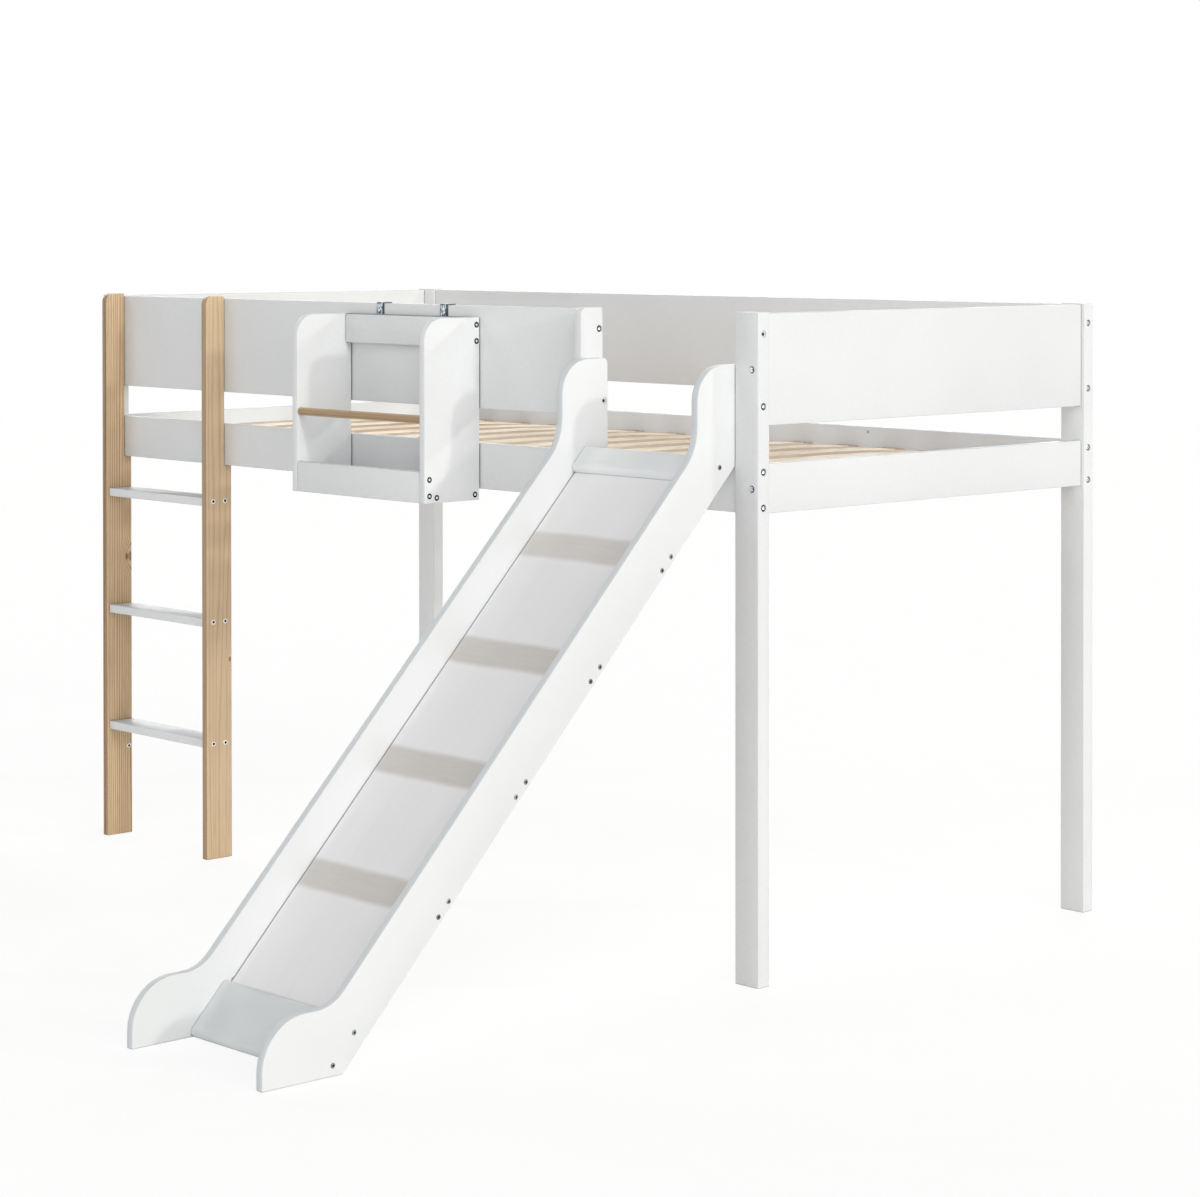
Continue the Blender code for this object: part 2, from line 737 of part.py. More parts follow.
def sink_seats(posts):
    """Seats in the outer faces of the three posts that the slide isn't bolted to."""
    for row, side, outer, across, line, face, ahead in (
        ("front", "left", LEFT, -1, BOLT_LINE, FRONT, -1),
        ("back", "left", LEFT, -1, BACK_BOLT_LINE, BACK, 1),
        ("back", "right", RIGHT, 1, BACK_BOLT_LINE, BACK, 1),
    ):
        post = posts[row, side]
        levels = (GUARD_BOLT_UPPER, GUARD_BOLT_LOWER, RAIL_BOLT_UPPER, RAIL_BOLT_LOWER)
        for index, level in enumerate(levels):
            name = f"{row}_{side}_seat_{index + 1}"
            sink_head(name, (outer, line, level), (across, 0, 0), post)
        for index, level in enumerate((END_GUARD_BOLT, END_RAIL_BOLT)):
            name = f"{row}_{side}_end_seat_{index + 1}"
            sink_head(name, (across * END_BOLT_LINE, face, level), (0, ahead, 0), post)


def make_bolts(posts, boards, sides, upright, finish):
    post = posts["front", "right"]
    slide_left = GUARD_BOTTOM + SLIDE_BOLT_ABOVE_GUARD_BOTTOM
    side_inner = SLIDE_INNER_LEFT
    across = (1, 0, 0)
    ahead = (0, -1, 0)
    through_side = POST_WIDTH + FIT + BOLT_SIDE_GRIP
    through_upright = BOARD_THICKNESS + FIT + BOLT_GRIP
    for name, place, outward, length, pieces in (
        (
            "bolt_post_spare",
            (RIGHT, BOLT_LINE, GUARD_BOLT_UPPER),
            across,
            BOLT_GRIP,
            (post,),
        ),
        (
            "bolt_slide_right",
            (RIGHT, BOLT_LINE, GUARD_BOLT_LOWER),
            across,
            through_side,
            (post, sides["right"]),
        ),
        (
            "bolt_rail_upper",
            (RIGHT, BOLT_LINE, RAIL_BOLT_UPPER),
            across,
            POST_WIDTH + FIT + BOLT_GRIP,
            (post, boards["rail", "front"]),
        ),
        (
            "bolt_rail_lower",
            (RIGHT, BOLT_LINE, RAIL_BOLT_LOWER),
            across,
            POST_WIDTH + FIT + BOLT_GRIP,
            (post, boards["rail", "front"]),
        ),
        (
            "bolt_end_guard",
            (END_BOLT_LINE, FRONT, END_GUARD_BOLT),
            ahead,
            POST_DEPTH + FIT + BOLT_GRIP,
            (post, boards["guard", "right"]),
        ),
        (
            "bolt_end_rail",
            (END_BOLT_LINE, FRONT, END_RAIL_BOLT),
            ahead,
            POST_DEPTH + FIT + BOLT_GRIP,
            (post, boards["rail", "right"]),
        ),
        (
            "bolt_guard_upper",
            (OPENING_LEFT, BOLT_LINE, GUARD_BOLT_UPPER),
            across,
            through_upright,
            (upright, boards["guard", "front"]),
        ),
        (
            "bolt_slide_left",
            (side_inner, BOLT_LINE - SLIDE_BOLT_FORWARD, slide_left),
            across,
            SIDE_THICKNESS + FIT + through_upright,
            (sides["left"], upright, boards["guard", "front"]),
        ),
    ):
        bolt_through(name, place, outward, length, pieces, finish)


def main():
    clear_scene()
    finish = materials()
    white = finish["white_paint"]
    posts = make_posts(white)
    boards = make_boards(white)
    make_ledges(finish["slat_pine"])
    make_slats(finish["slat_pine"])
    upright = make_upright(white)
    make_stiles(finish["pine"])
    make_treads(white)
    sides = make_slide_sides(white)
    make_sheet(finish["milky_sheet"])
    make_battens(finish["slat_pine"])
    make_top_board(finish["satin_board"])
    make_exit_board(finish["satin_board"])
    carrier = bpy.data.objects.new("shelf_carrier", None)
    bpy.context.scene.collection.objects.link(carrier)
    carrier.location = (SHELF_OFFSET, FRONT_BOARD_FACE, GUARD_TOP)
    bpy.context.view_layer.update()
    make_shelf(carrier, white, finish["pine"], finish["zinc"])
    make_bolts(posts, boards, sides, upright, finish["zinc"])
    sink_seats(posts)


main()
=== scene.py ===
"""Loft bed with slide: finishes, small fasteners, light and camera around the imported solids.

Lengths are metres in the part's own frame: the floor is at Z 0, +X runs along the bed towards
the slide, and -Y is the front, where the ladder, the shelf and the slide are.
"""

import math
from collections import namedtuple

import bmesh
import bpy
from mathutils import Matrix, Vector


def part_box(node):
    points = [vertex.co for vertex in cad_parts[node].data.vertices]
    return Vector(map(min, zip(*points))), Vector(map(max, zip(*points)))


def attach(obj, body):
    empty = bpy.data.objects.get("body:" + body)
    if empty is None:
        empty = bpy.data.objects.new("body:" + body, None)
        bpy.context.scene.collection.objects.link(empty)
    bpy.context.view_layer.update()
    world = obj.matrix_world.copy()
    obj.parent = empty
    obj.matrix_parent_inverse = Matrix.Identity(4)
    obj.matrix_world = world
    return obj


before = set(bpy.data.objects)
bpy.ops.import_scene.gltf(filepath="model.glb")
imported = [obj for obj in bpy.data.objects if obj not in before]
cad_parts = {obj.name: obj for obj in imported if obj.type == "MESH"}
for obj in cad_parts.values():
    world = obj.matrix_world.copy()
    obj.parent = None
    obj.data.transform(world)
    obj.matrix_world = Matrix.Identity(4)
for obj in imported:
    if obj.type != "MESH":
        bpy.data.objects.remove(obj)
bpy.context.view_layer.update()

# Directions that fasteners face
RIGHTWARDS = Vector((1, 0, 0))
LEFTWARDS = Vector((-1, 0, 0))
FORWARDS = Vector((0, -1, 0))
BACKWARDS = Vector((0, 1, 0))
UPWARDS = Vector((0, 0, 1))

# Axes by number
X_AXIS, Y_AXIS, Z_AXIS = range(3)

# The slide's slope, where distances along it start, and the battens: their places along it, how
# strongly each one's painted shade shows through the sheet, half their width, and how soft the
# edges of that shade look
SLOPE = math.radians(46.0)
SLIDE_SEAT = Vector((0.0, 0.05858, 0.9428))
BATTEN_PLACES = (-0.246, -0.495, -0.744, -0.992)
BATTEN_SHADE_SHARES = (0.82, 0.98, 0.98, 0.94)
BATTEN_HALF_WIDTH = 0.0285
BAND_BLUR = 0.007

# The sheet: how far the bands of painted batten shade waver, the two places along X between which
# they grow stronger and the shares there, and the shadow line, which ends and is full this far
# from the left edge
BAND_WAVER = 0.001
BAND_FADE = (0.60, 0.97, 0.84, 1.0)
SHEET_LINE_END = 0.0028
SHEET_LINE_FULL = 0.0014
SHEET_LINE_SHARE = 0.7

# The slats: how many, the left edge of the first one's field, pitch, their middle and half length
# along Y, and how far from the tips the painted shadow at their ends starts and is full
SLAT_COUNT = 15
FIRST_SLAT_EDGE = -0.98143
SLAT_PITCH = 0.13086
SLAT_MIDDLE = 0.53358
SLAT_HALF = 0.455
SLAT_SHADOW_START = 0.031
SLAT_SHADOW_FULL = 0.025

# The shelf's hooks: middle of the first one along X, the distance to the next, and where they
# turn dark, as distances from a hook's middle and as heights
HOOK_MIDDLE = -0.0417
HOOK_PITCH = 0.2
HOOK_RIGHT_EDGE = (0.0060, 0.0078)
HOOK_LEFT_EDGE = (-0.0078, -0.0095)
HOOK_LEFT_TOP = (1.207, 1.204)
HOOK_CAP_LEVEL = (1.2116, 1.2132)
HOOK_CAP_EDGE = (0.0055, 0.0035)

# The shelf's back rail: how far below its top the shadow line starts and is full
LINE_START = 0.0022
LINE_FULL = 0.0012
LINE_SHARE = 0.75

# Pine: how far its grain is drawn out, how the growth lines lean and drift, and its knots, each
# with a place and a radius. Lines bend round a knot for some radii, by some line spacings.
PINE_STRETCH = 0.035
SLAT_STRETCH = 0.03
SLAT_STREAKS = 9.0
RING_LEAN = 0.35
RING_DRIFT = 7
KNOT_SQUASH = 0.45
KNOT_CORE = 0.6
KNOT_BEND_REACH = 5
KNOT_BEND = 3
LEFT_KNOT = (Vector((-0.9547, 0.063, 0.625)), 0.0045)
RIGHT_KNOT = (Vector((-0.5777, 0.071, 0.43)), 0.003)

# Shared by the finishes: the range that most of a noise lies in, the range from open to shut in
# a gap and how wide a gap may be, for the painted shade in gaps, and how much darker the clouds
# in the paint are
NOISE_RANGE = (0.3, 0.7)
GAP_RANGE = (0.72, 0.25)
GAP_REACH = 0.005
CLOUD_SHADE = 0.955

# Heads of the small fasteners: radius, radius of the dark ring of painted shadow around it,
# height, recess, how far the recess reaches from the middle, and half the width of a cross's arms
Head = namedtuple("Head", "radius ring height recess reach half", defaults=(0.0,))
SCREW = Head(0.0040, 0.0046, 0.0008, "hexagon", 0.0024)
LADDER_SCREW = Head(0.0054, 0.0055, 0.0006, "hexagon", 0.0034)
SLAT_SCREW = Head(0.0030, 0.0034, 0.0003, "cross", 0.0016, 0.0005)
SHELF_SCREW = Head(0.0026, 0.0058, 0.0009, "hexagon", 0.0006)
SUNK_BOLT = Head(0.0043, 0.0064, 0.0024, "hexagon", 0.0013)
INNER_SCREW = Head(0.0048, 0.0050, 0.0006, "hexagon", 0.0034)
MARK = Head(0.0030, 0.0033, 0.0004, "cross", 0.0016, 0.0005)
NUT = Head(0.0017, 0.0021, 0.0003, "hexagon", 0.0008)

# Every head: corners of its circles, its profile as shares of radius and height, how far it goes
# into the face, how high its ring and the floor of its recess stand above it, how much the recess
# narrows, and the turn from one head of a row to the next, in radians
HEAD_SEGMENTS = 24
HEAD_PROFILE = ((0.96, 0.6), (0.84, 0.9), (0.70, 1.0))
SINK = 0.0012
RING_LIP = 0.00015
RECESS_FLOOR = 0.0001
RECESS_TAPER = 0.9
HEAD_TURN = 0.7

# A head's two materials: the metal, and the painted shadow of its ring and recess
METAL_SLOT = 0
SHADOW_SLOT = 1

# Where the fasteners sit. A place is a Y and a Z, a level is a Z, and a line is an X or a Y.
LADDER_SCREW_LEVELS = (0.775, 0.514, 0.250)
LADDER_SCREW_LINES = (0.0276, 0.0591)
INNER_SCREW_PLACES = ((0.0675, 0.1968),)
SLIDE_SCREW_STEPS = (0.016, -0.016)
SLIDE_SCREW_ABOVE = 0.0103
SLIDE_END_PLACES = ((0.0136, 0.936), (-0.8284, 0.064), (-0.8724, 0.018))
SLIDE_MARK_PLACES = ((-0.807, 0.085),)
SHELF_SCREW_PLACES = ((0.0485, 1.176), (0.0485, 1.144), (-0.0730, 0.877), (-0.0730, 0.845),
                      (-0.0544, 0.841), (0.0441, 0.842))
SLAT_SCREW_INSETS = (("front", 0.013), ("back", -0.013))
SLAT_SCREW_STEPS = (-0.016, 0.016)
SLAT_SCREW_LEVEL = 0.0130
RAIL_MARK_LINE = 0.4503
RAIL_MARK_LEVEL = 0.9316
NUT_LINES = (-0.9398, 0.9398)
NUT_LEVELS = (1.1775, 1.046)
POST_BOLT_LEVELS = (1.176, 1.046, 0.928, 0.8635)
BACK_POST_LINE = 0.99958
FRONT_POST_LINE = 0.06758
END_BOLT_LEVELS = (1.112, 0.8975)
END_BOLT_LINE = 1.015
BOLT_SEAT_DEPTH = 0.0041

# The bolts that are solids: the distances from a head's middle between which it turns dark, with
# painted shade at its edge, in its key hole and in a ring. The painted shadow on its edge lies on
# one side only, so that is measured from a point one step off the middle. Side bolts look along
# X.
BOLT_SHADE_STEP = 0.0020
BOLT_EDGE = (0.0040, 0.0046)
BOLT_KEY = (0.0022, 0.0014)
SIDE_BOLT_EDGE = (0.0030, 0.0038)
SIDE_BOLT_RING = (0.0026, 0.0036)
SIDE_BOLT_RING_SHARE = 0.55
DARK_BOLT_CORE = (0.0037, 0.0029)
BOLT_DARKNESS = 0.94
DARK_BOLTS = ("bolt_post_spare", "bolt_slide_left")

# How the solids' meshes are shown
WELD_DISTANCE = 0.00001
CORNER_ANGLE = math.radians(32)

# Camera
CAMERA_PLACE = (4.9712, -4.0349, 1.3724)
CAMERA_PITCH = math.pi / 2 - 0.0131
CAMERA_ROLL = 0.0009
CAMERA_HEADING = 0.831
SENSOR = 36.0
LENS = 95.0
SHIFT_ACROSS = 0.0372
SHIFT_UP = -0.2768
CLIP_END = 60.0

# Light: which way each lamp's rays travel, its strength, how wide it looks in degrees, its tint
WARM = (1.0, 0.996, 0.935)
EVEN = (0.995, 1.0, 0.985)
COOL = (0.986, 0.996, 1.0)
LAMPS = {
    "key_from_behind": ((-1.0, -1.0, -0.65), 0.43, 2.5, WARM),
    "key_from_right": ((-1.0, 0.075, -0.22), 0.49, 2.5, WARM),
    "wide_from_right": ((-1.0, 0.2, -0.25), 0.44, 70.0, WARM),
    "wide_from_front_right": ((-1.0, 0.8, -0.3), 1.12, 70.0, EVEN),
    "wide_from_upper_right": ((-1.0, 0.2, -1.0), 0.80, 60.0, WARM),
    "soft_from_front": ((0.3, 1.0, -0.2), 0.18, 25.0, COOL),
    "soft_from_front_left": ((0.6, 0.8, -0.5), 0.47, 25.0, COOL),
    "wide_from_left": ((1.0, 0.0, -0.2), 0.40, 60.0, COOL),
    "wide_from_behind": ((0.3, -1.0, -0.4), 1.10, 60.0, COOL),
    "wide_from_back_left": ((1.0, -0.6, -0.3), 1.60, 60.0, COOL),
}

# The world's strength as light, and as what the camera and reflections see
WORLD_STRENGTH = 0.03
SHOWN_STRENGTH = 1.0

# The floor: half its width, how bright it looks, and how much of the shadow on it shows
FLOOR_HALF = 14.0
FLOOR_GLOW = 1.09
FLOOR_SHADOW_SHARE = 0.25


def linear(red, green, blue):
    """A colour written in 0 to 255 screen values, as the linear values that shaders use."""
    channels = []
    for value in (red, green, blue):
        share = value / 255
        if share <= 0.04045:
            channels.append(share / 12.92)
        else:
            channels.append(((share + 0.055) / 1.055) ** 2.4)
    return (*channels, 1.0)


# Colours that more than one finish takes, and the darkest ones, as linear values
PAINT_WHITE = linear(239, 240, 242)
PAINT_SHADE_AND_FLECKS = linear(188, 195, 203)
PINE_BROWN = linear(150, 114, 80)
WOOD_GAP_SHADE = linear(84, 62, 44)
GAP_DARK = (0.026, 0.030, 0.034, 1.0)
GAP_PALE = (0.075, 0.082, 0.088, 1.0)
DEEP_DARK = (0.002, 0.002, 0.003, 1.0)
DEEP_PALE = (0.006, 0.007, 0.008, 1.0)


class Finish:
    """One material's nodes, with short calls that add and join them."""

    def __init__(self, name):
        self.material = bpy.data.materials.new(name)
        self.material.use_nodes = True
        self.tree = self.material.node_tree
        self.tree.nodes.clear()
        self.place = self.add("ShaderNodeTexCoord").outputs["Object"]

    def feed(self, socket, value):
        if isinstance(value, bpy.types.NodeSocket):
            self.tree.links.new(value, socket)
        else:
            socket.default_value = value

    def add(self, kind, inputs=None, **settings):
        node = self.tree.nodes.new(kind)
        for name, value in settings.items():
            setattr(node, name, value)
        for name, value in (inputs or {}).items():
            self.feed(node.inputs[name], value)
        return node

    def math(self, operation, first, second=0.0):
        node = self.add("ShaderNodeMath", operation=operation)
        self.feed(node.inputs[0], first)
        self.feed(node.inputs[1], second)
        return node.outputs[0]

    def times(self, first, second):
        return self.math("MULTIPLY", first, second)

    def vectors(self, operation, first, second=None):
        node = self.add("ShaderNodeVectorMath", operation=operation)
        self.feed(node.inputs[0], first)
        if second is not None:
            self.feed(node.inputs[1], second)
        return node

    def mix(self, share, first, second):
        """Mixes two colours, which this node takes at 6 and 7 and gives back at 2."""
        node = self.add("ShaderNodeMix", data_type="RGBA")
        self.feed(node.inputs[0], share)
        self.feed(node.inputs[6], first)
        self.feed(node.inputs[7], second)
        return node.outputs[2]

    def between(self, value, low, high, to_low=0.0, to_high=1.0):
        """Takes low..high to to_low..to_high, softly at both ends."""
        inputs = {
            "Value": value,
            "From Min": low,
            "From Max": high,
            "To Min": to_low,
            "To Max": to_high,
        }
        node = self.add("ShaderNodeMapRange", inputs, interpolation_type="SMOOTHSTEP")
        return node.outputs[0]

    def spread(self, noise, to_low=0.0, to_high=1.0):
        """Takes most of a noise's range to to_low..to_high."""
        return self.between(noise, *NOISE_RANGE, to_low, to_high)

    def drawn_out(self, scale):
        """The place on the object, scaled by a different amount along each axis."""
        inputs = {"Vector": self.place, "Scale": scale}
        return self.add("ShaderNodeMapping", inputs).outputs[0]

    def noise(self, vector, scale, detail=2.0, distortion=0.0):
        inputs = {"Vector": vector, "Scale": scale, "Detail": detail, "Distortion": distortion}
        return self.add("ShaderNodeTexNoise", inputs).outputs["Fac"]

    def axis(self, vector, name):
        return self.add("ShaderNodeSeparateXYZ", {"Vector": vector}).outputs[name]

    def distance(self, centre, weights):
        """How far the place is from a centre, with its three distances weighed."""
        away = self.vectors("SUBTRACT", self.place, centre)
        weighed = self.vectors("MULTIPLY", away.outputs[0], weights)
        return self.vectors("LENGTH", weighed.outputs[0]).outputs["Value"]

    def edge_share(self, reach, start, end):
        """1 along a piece's rounded edges, 0 on its faces."""
        rounded = self.add("ShaderNodeBevel", {"Radius": reach}, samples=4).outputs[0]
        plain = self.add("ShaderNodeNewGeometry").outputs["Normal"]
        product = self.vectors("DOT_PRODUCT", rounded, plain)
        return self.between(product.outputs["Value"], start, end)

    def shaded_in_gaps(self, tone, share, dark):
        """Painted shade: the tone, taken to a dark one by a share deep in the gaps between
        pieces.
        """
        inputs = {"Distance": GAP_REACH}
        open_share = self.add("ShaderNodeAmbientOcclusion", inputs, samples=4).outputs["AO"]
        return self.mix(self.times(self.between(open_share, *GAP_RANGE), share), tone, dark)

    def normal_along(self, name):
        """How far the face looks along one axis, from -1 to 1."""
        return self.axis(self.add("ShaderNodeNewGeometry").outputs["Normal"], name)

    def bump(self, height, strength, distance):
        inputs = {"Height": height, "Strength": strength, "Distance": distance}
        return self.add("ShaderNodeBump", inputs).outputs[0]

    def finish(self, colour, roughness, normal, **constants):
        shader = self.add("ShaderNodeBsdfPrincipled")
        self.feed(shader.inputs["Base Color"], colour)
        self.feed(shader.inputs["Roughness"], roughness)
        self.feed(shader.inputs["Normal"], normal)
        for name, value in constants.items():
            shader.inputs[name.replace("_", " ")].default_value = value
        output = self.add("ShaderNodeOutputMaterial")
        self.tree.links.new(shader.outputs[0], output.inputs["Surface"])
        return self.material


def one_axis(axis, value):
    """Three weights of 1, apart from one axis, which gets the value."""
    weights = [1.0, 1.0, 1.0]
    weights[axis] = value
    return weights


def painted(name, colour, shade_and_fleck_colour, rim_shade=0.0, top_shade=0.0, line_level=None):
    """Sprayed satin paint: faint clouds in the tone, fine orange-peel, and bluish painted shade
    along the arrises.

    The narrow faces that don't look sideways can be greyer by a share, and so can faces that look
    up: both are painted shade. A line_level adds a shadow line below that height.
    """
    m = Finish(name)
    clouds = m.noise(m.place, scale=2.3, detail=3.0)
    flecks = m.noise(m.place, scale=160.0)
    deep = tuple(value * CLOUD_SHADE for value in colour[:3]) + (1.0,)
    tone = m.mix(m.spread(clouds), deep, colour)
    tone = m.mix(m.between(flecks, 0.35, 0.75, to_high=0.05), tone, shade_and_fleck_colour)
    # Painted shade: bluish grey along the arrises
    arris_shade = m.edge_share(reach=0.0025, start=0.995, end=0.90)
    tone = m.mix(m.times(arris_shade, 0.55), tone, shade_and_fleck_colour)
    # Painted shade: narrow faces that don't look sideways turn greyer
    if rim_shade > 0:
        sideways = m.math("ABSOLUTE", m.normal_along("X"))
        tone = m.mix(m.between(sideways, 0.75, 0.35, to_high=rim_shade), tone, shade_and_fleck_colour)
    # Painted shade: faces that look up turn greyer
    if top_shade > 0:
        upwards = m.between(m.normal_along("Z"), 0.8, 0.95, to_high=top_shade)
        tone = m.mix(upwards, tone, shade_and_fleck_colour)
    if line_level is not None:
        level = m.axis(m.place, "Z")
        line = m.between(level, line_level - LINE_START, line_level - LINE_FULL)
        tone = m.mix(m.times(line, LINE_SHARE), tone, linear(84, 98, 106))
    tone = m.shaded_in_gaps(tone, 0.7, linear(120, 126, 132))
    peel = m.noise(m.place, scale=700.0)
    gloss = m.spread(m.noise(m.place, scale=14.0, detail=3.0), 0.37, 0.49)
    relief = m.bump(peel, strength=0.12, distance=0.0004)
    return m.finish(tone, gloss, relief, Specular_IOR_Level=0.1)


def pine(name, along, pale, deep, brown, spacing, contrast, knots=()):
    """Planed softwood: growth lines and fine fibres drawn out along one axis, and knots.

    Faces that look forward are browner, as painted shade, and rounded edges are paler, as wear
    and a painted highlight.
    """
    m = Finish(name)
    drawn = m.drawn_out(one_axis(along, PINE_STRETCH))
    drift = m.noise(drawn, scale=16.0, distortion=0.3)
    parts = [m.axis(m.place, "XYZ"[index]) for index in range(3) if index != along]
    rings = m.math("ADD", parts[1], m.times(parts[0], RING_LEAN))
    rings = m.math("ADD", rings, m.times(drift, spacing * RING_DRIFT))
    knot_share = 0.0
    for knot, radius in knots:
        reach = m.distance(knot, one_axis(along, KNOT_SQUASH))
        bend = m.between(reach, 0.0, radius * KNOT_BEND_REACH, spacing * KNOT_BEND, 0.0)
        rings = m.math("ADD", rings, bend)
        core = m.between(reach, radius, radius * KNOT_CORE)
        knot_share = m.math("MAXIMUM", knot_share, core)
    saw = m.math("FRACT", m.math("DIVIDE", rings, spacing))
    line = m.times(m.between(saw, 0.55, 0.93), m.between(saw, 1.0, 0.95))
    fibres = m.noise(drawn, scale=620.0, detail=3.0)
    stains = m.noise(drawn, scale=5.0)
    tone = m.mix(m.spread(stains), pale, deep)
    tone = m.mix(m.times(line, contrast), tone, brown)
    tone = m.mix(m.between(fibres, 0.45, 0.75, to_high=0.22), tone, brown)
    if knots:
        tone = m.mix(m.times(knot_share, 0.8), tone, linear(104, 66, 40))
    # Painted shade: faces that look forward turn browner
    front = m.between(m.normal_along("Y"), -0.55, -0.85, to_high=0.58)
    tone = m.mix(front, tone, brown)
    # Paler rounded edges: wear, and a painted highlight
    worn_and_lit_edges = m.edge_share(reach=0.0026, start=0.995, end=0.88)
    tone = m.mix(m.times(worn_and_lit_edges, 0.85), tone, linear(246, 226, 196))
    tone = m.shaded_in_gaps(tone, 0.7, WOOD_GAP_SHADE)
    height = m.math("ADD", fibres, m.times(line, -0.5))
    gloss = m.spread(fibres, 0.5, 0.66)
    return m.finish(tone, gloss, m.bump(height, strength=0.25, distance=0.0004))


def slat_pine(name):
    """Slats, each with its own long streaks: cream sides as painted light, browner tops and ends
    as painted shade.
    """
    m = Finish(name)
    drawn = m.drawn_out(one_axis(Y_AXIS, SLAT_STRETCH))
    order = m.math("ADD", m.axis(m.place, "X"), -FIRST_SLAT_EDGE)
    order = m.math("FLOOR", m.math("DIVIDE", order, SLAT_PITCH))
    own = m.add("ShaderNodeTexWhiteNoise", {"W": order}, noise_dimensions="1D").outputs["Value"]
    drift = m.noise(drawn, scale=20.0, detail=3.0, distortion=0.4)
    fibres = m.noise(drawn, scale=560.0, detail=3.0)
    rings = m.math("FRACT", m.times(m.math("ADD", drift, own), SLAT_STREAKS))
    streak = m.between(rings, 0.5, 0.95)
    # Painted light and shade: a lit cream tone for the sides, a shaded brown one for the tops
    lit_side_tone = m.mix(own, linear(254, 246, 232), linear(249, 236, 216))
    lit_side_tone = m.mix(m.times(streak, 0.35), lit_side_tone, linear(214, 182, 146))
    shaded_top_tone = m.mix(own, linear(188, 160, 128), linear(174, 146, 114))
    shaded_top_tone = m.mix(m.times(streak, 0.5), shaded_top_tone, linear(158, 126, 96))
    sideways = m.math("ABSOLUTE", m.normal_along("X"))
    tone = m.mix(m.between(sideways, 0.4, 0.8), shaded_top_tone, lit_side_tone)
    # Painted shadow towards both ends
    aside = m.math("ABSOLUTE", m.math("SUBTRACT", m.axis(m.place, "Y"), SLAT_MIDDLE))
    end = m.between(aside, SLAT_HALF - SLAT_SHADOW_START, SLAT_HALF - SLAT_SHADOW_FULL)
    tone = m.mix(m.times(end, 0.75), tone, linear(190, 160, 128))
    tone = m.mix(m.between(fibres, 0.45, 0.8, to_high=0.25), tone, linear(182, 148, 112))
    tone = m.shaded_in_gaps(tone, 0.7, WOOD_GAP_SHADE)
    gloss = m.spread(fibres, 0.5, 0.66)
    return m.finish(tone, gloss, m.bump(fibres, strength=0.25, distance=0.0004))


def milky_sheet(name):
    """Thin milky plastic with soft bands of painted shade where the battens lie under it, and
    rubbed streaks.

    Its left edge lies in the shadow of the slide's side.
    """
    m = Finish(name)
    turned = m.add("ShaderNodeVectorRotate", rotation_type="X_AXIS")
    m.feed(turned.inputs["Vector"], m.place)
    m.feed(turned.inputs["Center"], SLIDE_SEAT)
    m.feed(turned.inputs["Angle"], -SLOPE)
    along = m.math("SUBTRACT", m.axis(turned.outputs[0], "Y"), SLIDE_SEAT.y)
    waver = m.spread(m.noise(m.place, scale=9.0), -BAND_WAVER, BAND_WAVER)
    along = m.math("ADD", along, waver)
    near = BATTEN_HALF_WIDTH - BAND_BLUR
    far = BATTEN_HALF_WIDTH + BAND_BLUR
    # Painted shade where the battens lie under the sheet
    batten_shade = 0.0
    for place, strength in zip(BATTEN_PLACES, BATTEN_SHADE_SHARES):
        away = m.math("ABSOLUTE", m.math("SUBTRACT", along, place))
        batten_shade = m.math("MAXIMUM", batten_shade, m.between(away, far, near, to_high=strength))
    across = m.axis(m.place, "X")
    grain = m.noise(m.drawn_out([0.06, 1.0, 1.0]), scale=220.0)
    batten_shade = m.times(m.times(batten_shade, m.between(across, *BAND_FADE)), m.spread(grain, 0.9, 1.0))
    streaks = m.noise(m.drawn_out([60.0, 1.6, 1.6]), scale=1.4, detail=3.0)
    clouds = m.noise(m.place, scale=3.5, detail=3.0)
    tone = m.mix(m.spread(clouds), linear(246, 245, 248), linear(250, 249, 251))
    tone = m.mix(m.between(streaks, 0.5, 0.8, to_high=0.10), tone, linear(214, 216, 220))
    tone = m.mix(batten_shade, tone, linear(207, 201, 196))
    left_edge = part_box("slide_sheet")[0].x
    line_end = left_edge + SHEET_LINE_END
    line_full = left_edge + SHEET_LINE_FULL
    line = m.between(across, line_end, line_full, to_high=SHEET_LINE_SHARE)
    tone = m.mix(line, tone, linear(104, 110, 116))
    tone = m.shaded_in_gaps(tone, 0.75, linear(112, 118, 124))
    gloss = m.spread(streaks, 0.30, 0.42)
    scuffs = m.noise(m.drawn_out([90.0, 3.0, 3.0]), scale=6.0)
    return m.finish(tone, gloss, m.bump(scuffs, strength=0.04, distance=0.0003), IOR=1.55)


def satin_board(name, pale, deep):
    """Smooth coated end boards of the slide, a little bluer than the paint."""
    m = Finish(name)
    clouds = m.noise(m.place, scale=6.0)
    rub = m.noise(m.drawn_out([4.0, 40.0, 40.0]), scale=1.5, detail=3.0)
    tone = m.mix(m.spread(clouds), deep, pale)
    tone = m.mix(m.between(rub, 0.5, 0.8, to_high=0.15), tone, linear(198, 203, 208))
    tone = m.shaded_in_gaps(tone, 0.75, linear(112, 120, 126))
    gloss = m.spread(rub, 0.30, 0.45)
    peel = m.noise(m.place, scale=500.0)
    return m.finish(tone, gloss, m.bump(peel, strength=0.1, distance=0.0004), IOR=1.48)


def metal(name, bright, dark, rough):
    """Plated steel with faint clouds and small dull spots."""
    m = Finish(name)
    spots = m.noise(m.place, scale=260.0, detail=3.0)
    clouds = m.noise(m.place, scale=45.0, detail=3.0)
    tone = m.mix(m.spread(clouds), bright, dark)
    tone = m.mix(m.between(spots, 0.55, 0.8, to_high=0.4), tone, dark)
    gloss = m.between(spots, 0.3, 0.75, rough - 0.08, rough + 0.16)
    return m.finish(tone, gloss, m.bump(spots, strength=0.15, distance=0.0003), Metallic=1.0)


